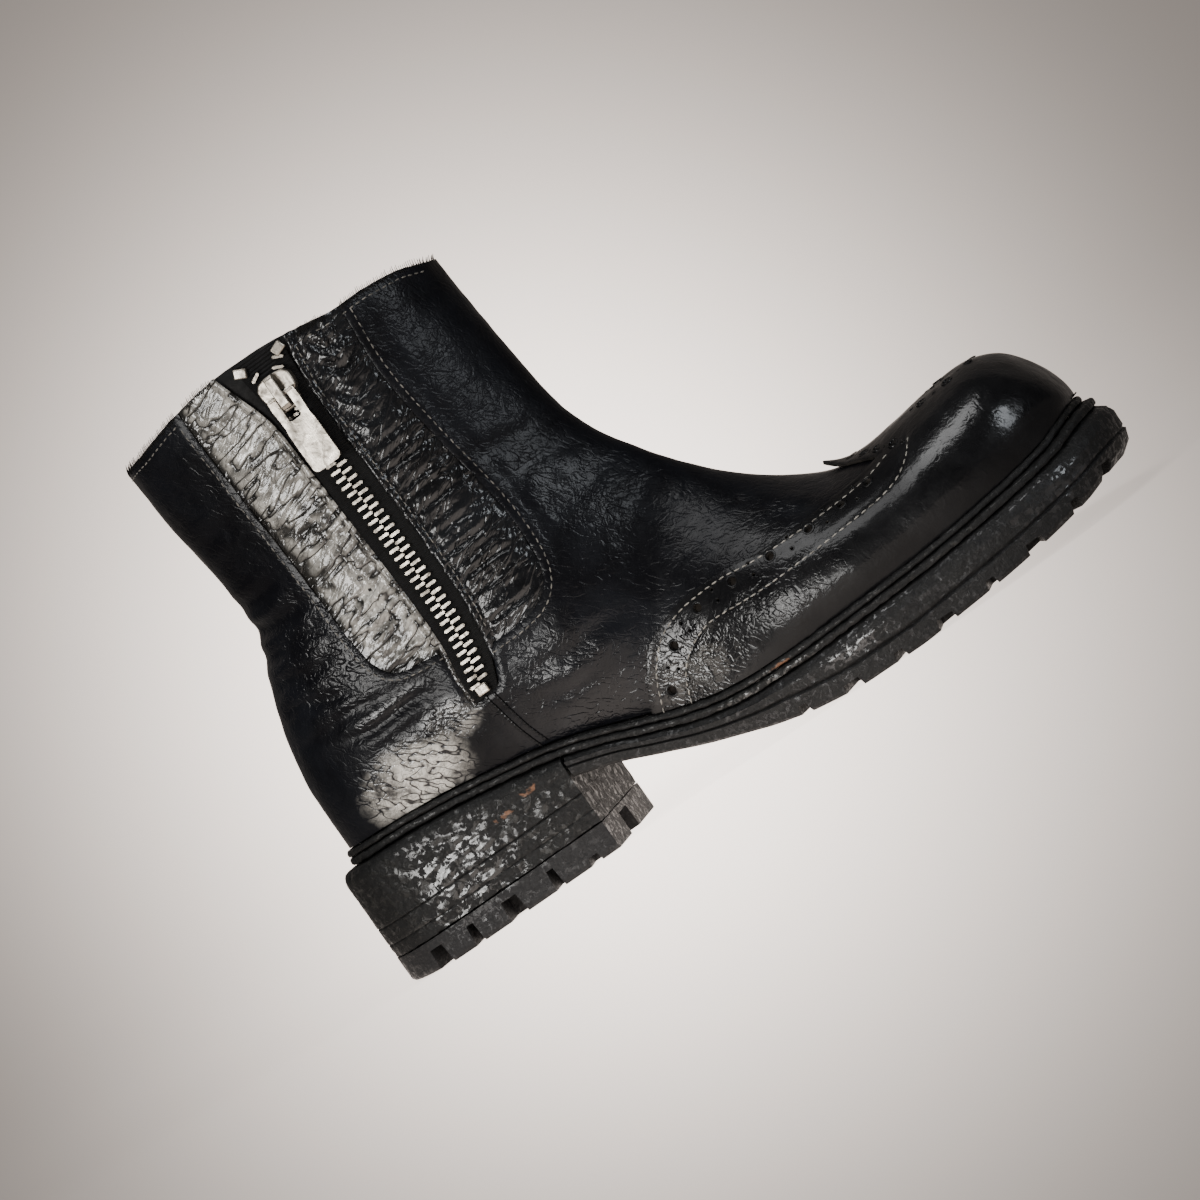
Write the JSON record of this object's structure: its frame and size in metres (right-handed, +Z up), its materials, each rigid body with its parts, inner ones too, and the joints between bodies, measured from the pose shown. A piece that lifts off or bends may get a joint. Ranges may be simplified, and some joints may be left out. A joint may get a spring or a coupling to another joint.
{
  "type": "ankle boot",
  "caption": "Left leather ankle boot with a winged brogue toe cap, inner side zip with a hinged pull, stacked heel and lugged rubber sole; hollow, open at the collar.",
  "frame": {"origin": "middle of the bounding box's base, on the floor", "axes": "+X to the toe, +Y to the outer side of the left foot, +Z up"},
  "size_m": [0.307, 0.1072, 0.2038],
  "materials": {
    "black_leather": "aged glossy black calf, creased",
    "wing_leather": "aged glossy black calf with punched holes",
    "waxed_edge": "black edge wax over leather, pitted",
    "insole_leather": "dark worn insole leather",
    "sole_rubber": "black rubber with waxed sides",
    "top_lift_rubber": "matte charcoal rubber, scratched",
    "zip_tape": "black woven zip tape",
    "nickel": "aged nickel plate"
  },
  "bodies": {
    "boot": {"outsole": "sole_rubber", "midsole": "waxed_edge", "welt": "waxed_edge", "heel_block": "waxed_edge", "heel_top_lift": "top_lift_rubber", "insole": "insole_leather", "upper": "black_leather", "wing_cap": "wing_leather", "zip_tape": "zip_tape", "zip_teeth_rear": "nickel", "zip_teeth_front": "nickel", "zip_slider": "nickel"},
    "pull_tab": {"zip_pull": "nickel"}
  },
  "joints": [
    {"name": "pull_hinge", "type": "hinge", "parent": "boot", "child": "pull_tab", "pos_m": [-0.06183, -0.04518, 0.1862], "axis": [-1, 0, 0], "range_deg": [0, 150]}
  ]
}
